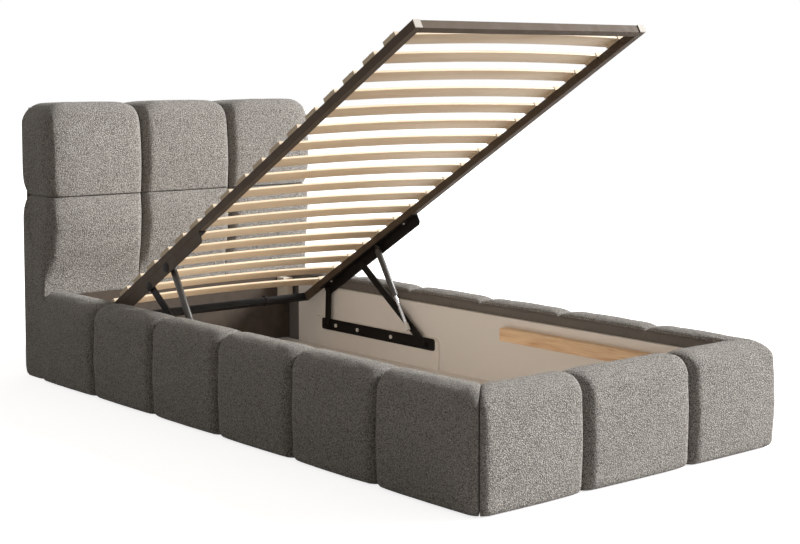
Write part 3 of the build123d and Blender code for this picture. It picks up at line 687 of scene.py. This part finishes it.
def lower_section(share, wraps, rounded_end=False):
    """The lower cushions thin out above the rails and run on to the floor behind their ends."""
    across = over_seam(share, column_width, across_reach)
    depth = outer_depth(share) if rounded_end else column_depth(share)
    belly = between(lower_belly, across)
    high = row_seam - seam_gap
    back = -frame_depth if wraps else 0
    points = []
    line(points, (back, skirt_bottom), (back, high), 14, True)
    line(points, (back, high), (depth - row_round, high), 4, True)
    bend(points, (depth - row_round, high - row_round), (row_round, row_round), 90, 0, 4)
    face(points, depth, belly, high - row_round, low_end, 9)
    end_skirt = min(skirt, depth) if rounded_end and share > 0.5 else skirt
    for step in range(12):
        t = 1 - step / 12
        eased = t * t * (3 - 2 * t)
        points.append((between((end_skirt, depth), eased), between((low_start, low_end), t), False))
    line(points, (end_skirt, low_start), (end_skirt, skirt_bottom), 8, True)
    line(points, (end_skirt, skirt_bottom), (back, skirt_bottom), 3, True)
    return points


print("headboard outlines", len(upper_section(0.5, False)), len(lower_section(0.5, False)), "points")

# %% [markdown]
# A run of outlines becomes a closed form when each is joined to the next and both ends are
# capped. The stations lie closer together near the seams, where the shape changes fastest.

# %% Form from outlines
even_share = 0.2
stations = [
    even_share * s / 40 + (1 - even_share) * (1 - math.cos(math.pi * s / 40)) / 2 for s in range(41)
]
masters = []


def cushion_form(name, outline, place, stations=stations):
    """A closed form through the outlines; place turns a share, an outward and an upward into a point."""
    rings = [outline(share) for share in stations]
    count = len(rings[0])
    corners = [place(share, out, up) for share, ring in zip(stations, rings) for out, up, _ in ring]
    held = [i for i, (_, _, fixed) in enumerate(p for ring in rings for p in ring) if fixed]
    last = (len(stations) - 1) * count
    held += [*range(count), *range(last, last + count)]
    faces = []
    for ring in range(len(stations) - 1):
        for i in range(count):
            j = (i + 1) % count
            a, b = ring * count, (ring + 1) * count
            faces.append((a + i, a + j, b + j, b + i))
    for first, order in ((0, 1), (last, -1)):
        middle = sum((Vector(corners[first + i]) for i in range(count)), Vector()) / count
        corners.append(tuple(middle))
        held.append(len(corners) - 1)
        ring = [first + i for i in range(count)][::order]
        faces += [(ring[(i + 1) % count], ring[i], len(corners) - 1) for i in range(count)]
    mesh = bpy.data.meshes.new(name)
    mesh.from_pydata(corners, [], faces)
    piece = bpy.data.objects.new(name, mesh)
    bpy.context.scene.collection.objects.link(piece)
    point_outwards(piece)
    piece.vertex_groups.new(name="held").add(sorted(set(held)), 1, "REPLACE")
    masters.append(piece)
    return piece


def point_outwards(piece):
    shape = bmesh.new()
    shape.from_mesh(piece.data)
    bmesh.ops.recalc_face_normals(shape, faces=shape.faces)
    shape.to_mesh(piece.data)
    shape.free()


print("stations", len(stations))

# %% [markdown]
# The foam presses against its cover from inside, so the face between the seams is a little fuller
# than any drawn outline. A few moments of cloth under pressure find that fullness. The cover is
# held at its back and seams, and no point may travel more than 1.5 mm, so the size stays true.

# %% Fill a cushion
filling_moments = 20
most_travel = 0.0015


def fill_cushion(piece, travel=most_travel):
    """Blows the cover out from inside for a moment, holding its back and seams."""
    before = [v.co.copy() for v in piece.data.vertices]
    cover = piece.modifiers.new("filling", "CLOTH")
    cover.settings.use_pressure = True
    cover.settings.uniform_pressure_force = 4
    cover.settings.vertex_group_mass = "held"
    cover.settings.effector_weights.gravity = 0
    cover.settings.shrink_min = -0.008
    cover.collision_settings.use_collision = False
    cover.point_cache.frame_end = filling_moments
    for moment in range(1, filling_moments + 1):
        bpy.context.scene.frame_set(moment)
    view = piece.evaluated_get(bpy.context.evaluated_depsgraph_get()).to_mesh()
    after = [v.co.copy() for v in view.vertices]
    furthest = max((b - a).length for a, b in zip(before, after))
    piece.modifiers.remove(cover)
    for vertex, a, b in zip(piece.data.vertices, before, after):
        step = b - a
        vertex.co = a + step * min(1.0, travel / max(step.length, 1e-9))
    bpy.context.scene.frame_set(1)
    print("filled", piece.name, "free travel", round(furthest * 1000, 1), "mm")


print("each point of a cover travels up to", most_travel * 1000, "mm")

# %% [markdown]
# No two cushions come out quite alike, because foam and cover are cut and pulled by hand. So each
# copy gets a slow unevenness of about a millimetre that depends on its place, and is smoothed once.

# %% Finish a cushion copy
waves = ((4, 0.0012), (14, 0.0004))


def settle(piece, name, step=(0, 0, 0), mirrored=False, inside=None):
    """A copy with its own mesh, moved to its place, made slightly uneven and smoothed once."""
    copy = piece.copy()
    copy.data = piece.data.copy()
    copy.name = copy.data.name = name
    bpy.context.scene.collection.objects.link(copy)
    copy.data.update()
    held = {v.index for v in copy.data.vertices if any(g.weight > 0.5 for g in v.groups)}
    normals = [v.normal.copy() for v in copy.data.vertices]
    seed = Vector((17 if mirrored else 3, 5, 9))
    for vertex, normal in zip(copy.data.vertices, normals):
        spot = vertex.co + Vector(step)
        if vertex.index not in held:
            slow = sum(noise.noise(spot * rate + seed) * size for rate, size in waves)
            spot = spot + normal * slow
        vertex.co = (-spot[0], spot[1], spot[2]) if mirrored else spot
    point_outwards(copy)
    bpy.ops.object.select_all(action="DESELECT")
    bpy.context.view_layer.objects.active = copy
    copy.select_set(True)
    smooth = copy.modifiers.new("smooth cover", "SUBSURF")
    smooth.levels = smooth.render_levels = 1
    bpy.ops.object.modifier_apply(modifier=smooth.name)
    for polygon in copy.data.polygons:
        polygon.use_smooth = True
    copy.data.materials.clear()
    copy.data.materials.append(materials["boucle"])
    if inside:
        copy.data.materials.append(materials["lining_cloth"])
        for polygon in copy.data.polygons:
            polygon.material_index = int(inside(polygon))
    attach(copy, "bed_box")
    return copy


print("waves", waves)

# %% [markdown]
# Six cushions run along each side. One plain form serves four of them, and the first and the last
# have a form of their own: the foot corner is cut at 45 degrees, and the head end butts against the
# headboard. The left side mirrors the right. Inside the box the cover gives way to the lining.

# %% Side cushions
foot_board_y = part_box("foot_board")[0].y
board_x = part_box("side_board_right")[1].x
rail_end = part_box("head_inner_board")[1].y
foot_seam = foot_board_y - seam_depth
side_pitch = (rail_end - foot_seam) / 6
lining_side, lining_end, lining_foot, lining_face = 0.0165, 0.017, 0.019, 0.7


def side_place(share, out, up):
    return (board_x + out, foot_seam + side_pitch * (1 + share), up)


def side_corner_place(share, out, up):
    """The foot corner is cut along 45 degrees, so the outlines lean towards it."""
    start = foot_board_y - out
    end = foot_seam + side_pitch
    return (board_x + out, start + (end - start) * share, up)


def faces_box(polygon):
    """Faces of a rail cushion that look into the box, where the cover is turned under."""
    centre, normal = polygon.center, polygon.normal
    if abs(centre.x) < board_x - lining_side and centre.y > foot_board_y + lining_foot:
        return -normal.x * math.copysign(1, centre.x) > lining_face
    beside = centre.y > foot_board_y + lining_side and abs(centre.x) < board_x - lining_end
    return beside and normal.y > lining_face


plain = cushion_form("side plain", rail_outline, side_place)
corner = cushion_form("side corner", corner_outline, side_corner_place)
head_end = cushion_form("side head end", head_end_outline, side_place)
for shape in (plain, corner, head_end):
    fill_cushion(shape)
for side, mirrored in (("left", True), ("right", False)):
    for index in range(6):
        shape = (corner, plain, plain, plain, plain, head_end)[index]
        step = (0, side_pitch * (index - 1), 0) if index else (0, 0, 0)
        name = f"side_cushion_{side}_{index + 1}"
        copy = settle(shape, name + "_cover", step, mirrored, faces_box)
        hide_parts(name)
print("side cushions", 12, "of", len(copy.data.polygons), "faces")

# %% [markdown]
# Three cushions close the foot. The middle one is plain, and the outer two are cut at 45 degrees
# where they meet the sides, so one form and its mirror image serve for both.

# %% Foot cushions
foot_half = 0.2095


def foot_middle_place(share, out, up):
    return (foot_half * (2 * share - 1), foot_board_y - out, up)


def foot_end_place(share, out, up):
    """Share 0 is the corner, and share 1 the seam beside the middle cushion."""
    end = board_x + out
    return (end + (foot_half - end) * share, foot_board_y - out, up)


middle = cushion_form("foot middle", rail_outline, foot_middle_place)
outer = cushion_form("foot end", corner_outline, foot_end_place)
for shape in (middle, outer):
    fill_cushion(shape)
for number, shape, mirrored in ((1, outer, True), (2, middle, False), (3, outer, False)):
    copy = settle(shape, f"foot_cushion_{number}_cover", (0, 0, 0), mirrored, faces_box)
    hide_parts(f"foot_cushion_{number}")
print("foot cushions", 3)

# %% [markdown]
# The headboard's cover runs round its sides and over its top to the back. The outer cushions
# therefore take in the frame's side: two outlines lie almost on each other there, one that stops
# at the frame's front and one that reaches its back. The side is drawn in at the seam between the
# rows, as the stitching pulls it.

# %% Headboard cushions
frame_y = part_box("headboard_frame")[0].y
frame_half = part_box("headboard_frame")[1].x
column_half, outer_half = 0.1867, 0.568
column_run = outer_half - column_half
side_gap = 0.0005
wrap_share = (frame_half + side_gap - column_half) / column_run
side_pinch, pinch_above, pinch_below = 0.022, 0.090, 0.050
wrap_step, clear_of_wrap = 0.0005, 0.002


def side_at(up):
    """How far out the headboard's side is at a height: drawn in at the row seam."""
    run = pinch_above if up > row_seam else pinch_below
    return outer_half - side_pinch * (1 - quarter(abs(up - row_seam) / run))


def column_middle(share, out, up):
    return (column_half * (2 * share - 1), frame_y - out, up)


def column_outer(share, out, up):
    return (column_half + (side_at(up) - column_half) * share, frame_y - out, up)


def wrapped(section):
    return lambda share: section(share, share > wrap_share, True)


def unwrapped(section):
    return lambda share: section(share, False)


before_wrap = [s for s in stations if s < wrap_share - clear_of_wrap]
after_wrap = [s for s in stations if s > wrap_share + clear_of_wrap]
outer_stations = [*before_wrap, wrap_share - wrap_step, wrap_share + wrap_step, *after_wrap]
for row, section in (("upper", upper_section), ("lower", lower_section)):
    middle = cushion_form(f"{row} middle", unwrapped(section), column_middle)
    outer = cushion_form(f"{row} outer", wrapped(section), column_outer, outer_stations)
    for shape in (middle, outer):
        fill_cushion(shape)
    for number, shape, mirrored in ((1, outer, True), (2, middle, False), (3, outer, False)):
        name = f"headboard_cushion_{row}_{number}"
        copy = settle(shape, name + "_cover", (0, 0, 0), mirrored)
        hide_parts(name)
print("headboard cushions", 6)

# %% [markdown]
# The back cloth closes the headboard. Its top corners follow the rounded outline, so it is a thin
# sheet with two rounded corners and a hem that is folded under along its border.

# %% Back cloth
def start_shape(size, centre, name):
    """A box primitive at its size and place, alone in the selection, opened in edit mode."""
    bpy.ops.object.select_all(action="DESELECT")
    bpy.ops.mesh.primitive_cube_add(size=1, location=centre, scale=size)
    bpy.ops.object.transform_apply(location=True, rotation=True, scale=True)
    shape = bpy.context.active_object
    shape.name = shape.data.name = name
    bpy.ops.object.mode_set(mode="EDIT")
    return shape


def select_where(shape, edges=None, faces=None):
    """Selects only the edges or faces whose middle and direction pass the test, in edit mode."""
    bpy.ops.mesh.select_all(action="DESELECT")
    bpy.context.tool_settings.mesh_select_mode = (False, bool(edges), bool(faces))
    grid = bmesh.from_edit_mesh(shape.data)
    for edge in grid.edges if edges else ():
        a, b = (v.co for v in edge.verts)
        edge.select = bool(edges((a + b) / 2, (b - a).normalized()))
    for polygon in grid.faces if faces else ():
        polygon.select = bool(faces(polygon.calc_center_median(), polygon.normal))
    grid.select_flush_mode()
    bmesh.update_edit_mesh(shape.data)


corner_round = 0.072
hem_width, hem_step, hem_depth = 0.014, 0.002, 0.0012
cloth_low, cloth_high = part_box("headboard_back_cover")
middle_z = (cloth_low.z + cloth_high.z) / 2
back_y = (cloth_low.y + cloth_high.y) / 2
back_size = cloth_high - cloth_low
back = start_shape(back_size, (0, back_y, middle_z), "back_cloth_sheet")
select_where(back, edges=lambda c, d: abs(d.y) > 0.9 and c.z > middle_z)
bpy.ops.mesh.bevel(offset=corner_round, offset_type="OFFSET", segments=10, profile=0.5, affect="EDGES")
select_where(back, faces=lambda c, n: n.y > 0.9)
bpy.ops.mesh.inset(thickness=hem_width, depth=0)
bpy.ops.mesh.inset(thickness=hem_step, depth=-hem_depth)
bpy.ops.object.mode_set(mode="OBJECT")
back.data.materials.append(materials["back_cloth"])
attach(back, "bed_box")
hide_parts("headboard_back_cover")
print("back cloth", len(back.data.polygons), "faces")

# %% [markdown]
# Two pins of the lift go right through each side tube, and their dark domed heads show on its
# outer face. They are turned on a lathe with a shallow recess in the middle, so one is modelled
# and then copied to every place.

# %% Pin heads
head_radius, head_height, head_rim = 0.0050, 0.0030, 0.0028
pins = {"link": (0.5508, 0.3762), "gas": (0.4445, 0.4499)}


def turned_head(name, radius, height, rim):
    """A domed head on its own axis, with a recess in the middle of its top."""
    bpy.ops.object.select_all(action="DESELECT")
    bpy.ops.mesh.primitive_cylinder_add(
        vertices=24, radius=radius, depth=height, location=(0, 0, height / 2)
    )
    head = bpy.context.active_object
    bpy.ops.object.transform_apply(location=True, rotation=True, scale=True)
    bpy.ops.object.mode_set(mode="EDIT")
    select_where(head, edges=lambda c, d: c.z > height * 0.9 and abs(d.z) < 0.1)
    bpy.ops.mesh.bevel(offset=height * 0.7, segments=4, profile=0.5, affect="EDGES")
    select_where(head, faces=lambda c, n: n.z > 0.9)
    bpy.ops.mesh.inset(thickness=rim, depth=0)
    bpy.ops.mesh.inset(thickness=0.0002, depth=-height * 0.45)
    bpy.ops.object.mode_set(mode="OBJECT")
    bpy.ops.object.shade_smooth_by_angle(angle=math.radians(35))
    head.name = head.data.name = name
    masters.append(head)
    return head


def place_head(master, name, spot, towards, finish, body):
    """A copy with its own mesh, its foot at the spot and its top towards the left or right."""
    copy = master.copy()
    copy.data = master.data.copy()
    copy.name = copy.data.name = name
    bpy.context.scene.collection.objects.link(copy)
    for vertex in copy.data.vertices:
        x, y, z = vertex.co
        vertex.co = (spot[0] + towards * z, spot[1] + towards * x, spot[2] + y)
    copy.data.materials.clear()
    copy.data.materials.append(materials[finish])
    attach(copy, body)


pin_head = turned_head("pin head", head_radius, head_height, head_rim)
tube_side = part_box("side_tube_right")[1].x
for side, towards in (("left", -1), ("right", 1)):
    for title, (y, z) in pins.items():
        spot = (towards * tube_side, y, z)
        place_head(pin_head, f"pin_head_{title}_{side}", spot, towards, "mechanism_paint", "platform")
print("pin heads", 2 * len(pins))

# %% [markdown]
# A small moulded clip sits on the head tube near its right end. It is a short sleeve with a
# tongue, so the upper face of a block is drawn out into the tongue and all edges are bevelled.
# It is made level and then turned with the open platform.

# %% Tube clip
clip_size, clip_x = (0.012, 0.029, 0.029), 0.247
tongue_inset, tongue_length = 0.003, 0.007
platform_tilt = 30.3
tube_low, tube_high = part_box("head_tube")
tube_middle = (tube_low + tube_high) / 2
clip = start_shape(clip_size, (0, 0, 0), "tube_clip")
select_where(clip, faces=lambda c, n: n.z > 0.9)
bpy.ops.mesh.inset(thickness=tongue_inset, depth=0)
bpy.ops.mesh.extrude_region_move(TRANSFORM_OT_translate={"value": (0, 0, tongue_length)})
bpy.ops.mesh.select_all(action="SELECT")
bpy.ops.mesh.bevel(offset=0.0012, segments=2, profile=0.5, affect="EDGES")
bpy.ops.mesh.select_all(action="SELECT")
bpy.ops.transform.rotate(value=math.radians(platform_tilt), orient_axis="X", center_override=(0, 0, 0))
bpy.ops.transform.translate(value=(clip_x, tube_middle.y, tube_middle.z))
bpy.ops.mesh.normals_make_consistent(inside=False)
bpy.ops.object.mode_set(mode="OBJECT")
clip.data.materials.append(materials["mechanism_paint"])
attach(clip, "platform")
print("tube clip", len(clip.data.polygons), "faces")

# %% Clear the master shapes away
for piece in masters:
    bpy.data.objects.remove(piece)

# %% [markdown]
# ## The studio
# The picture has a white ground, a bright soft light from the right of the foot and little light
# on the bed's left. The floor and the world are white to the camera but dull to the light that
# bounces off them, so the shaded side stays dark. The floor glows more the farther it is from the
# bed, which hides the horizon and still leaves a soft shadow where the bed stands.

# %% Floor and world
glow_distances, glow_strengths = (1.2, 3.2), (0.78, 1.0)
world_strengths = (0.29, 1.0)
dull_floor, seen_floor = (0.34, 0.32, 0.30, 1), (0.85, 0.85, 0.85, 1)
warm_world, seen_world = (1, 0.93, 0.85, 1), (1, 1, 1, 1)


def seen_directly(tree):
    """1 for rays from the camera, a mirror or a clear body, and 0 for light that bounces."""
    path = add(tree, "LightPath").outputs
    seen = math_node(tree, "MAXIMUM", path["Is Camera Ray"], path["Is Glossy Ray"])
    return math_node(tree, "MAXIMUM", seen, path["Is Transmission Ray"])


bpy.ops.object.select_all(action="DESELECT")
bpy.ops.mesh.primitive_plane_add(size=60, location=(0, 0, 0))
floor = bpy.context.active_object
floor.name = "studio_floor"
floor_material = bpy.data.materials.new("studio_floor")
floor_material.use_nodes = True
tree = floor_material.node_tree
shader = tree.nodes["Principled BSDF"]
shader.inputs["Roughness"].default_value = 1.0
shader.inputs["Specular IOR Level"].default_value = 0.0
seen = seen_directly(tree)
spot = add(tree, "TexCoord").outputs["Object"]
distance = add(tree, "VectorMath", {"operation": "LENGTH"}, i0=spot).outputs["Value"]
glow = carry(tree, distance, glow_distances, glow_strengths)
glow = times(tree, glow, seen)
tree.links.new(mix_colour(tree, seen, dull_floor, seen_floor), shader.inputs["Base Color"])
tree.links.new(grey(tree, glow), shader.inputs["Emission Color"])
shader.inputs["Emission Strength"].default_value = 1.0
floor.data.materials.append(floor_material)
world = bpy.data.worlds.new("studio")
bpy.context.scene.world = world
world.use_nodes = True
tree = world.node_tree
sky = tree.nodes["Background"].inputs
seen = seen_directly(tree)
tree.links.new(carry(tree, seen, (0.0, 1.0), world_strengths), sky["Strength"])
tree.links.new(mix_colour(tree, seen, warm_world, seen_world), sky["Color"])
print("floor and world ready")

# %% [markdown]
# One large round softbox high on the right models the bed and leaves the left in shade. A second,
# low and weaker one lifts the foot and the right side. It isn't mirrored in the glossy finishes,
# so the steel keeps a single highlight.

# %% Lamps
def softbox(name, place, target, size, power, mirrored_in_gloss=True):
    data = bpy.data.lights.new(name, "AREA")
    data.shape = "DISK"
    data.size = size
    data.energy = power
    lamp = bpy.data.objects.new(name, data)
    lamp.location = place
    lamp.rotation_euler = (Vector(target) - Vector(place)).to_track_quat("-Z", "Y").to_euler()
    lamp.visible_glossy = mirrored_in_gloss
    bpy.context.scene.collection.objects.link(lamp)


key_place, key_target = (17.4, -10.0, 10.6), (0, 0, 0.4)
fill_place, fill_target = (19.0, -14.6, 1.5), (0, 0, 0.7)
softbox("key", key_place, key_target, 6.0, 8500)
softbox("low fill", fill_place, fill_target, 8.0, 3400, False)
print("lamps ready")

# %% [markdown]
# The standard view keeps the white ground white and the tones as they were set.

# %% Colour view
bpy.context.scene.view_settings.view_transform = "Standard"
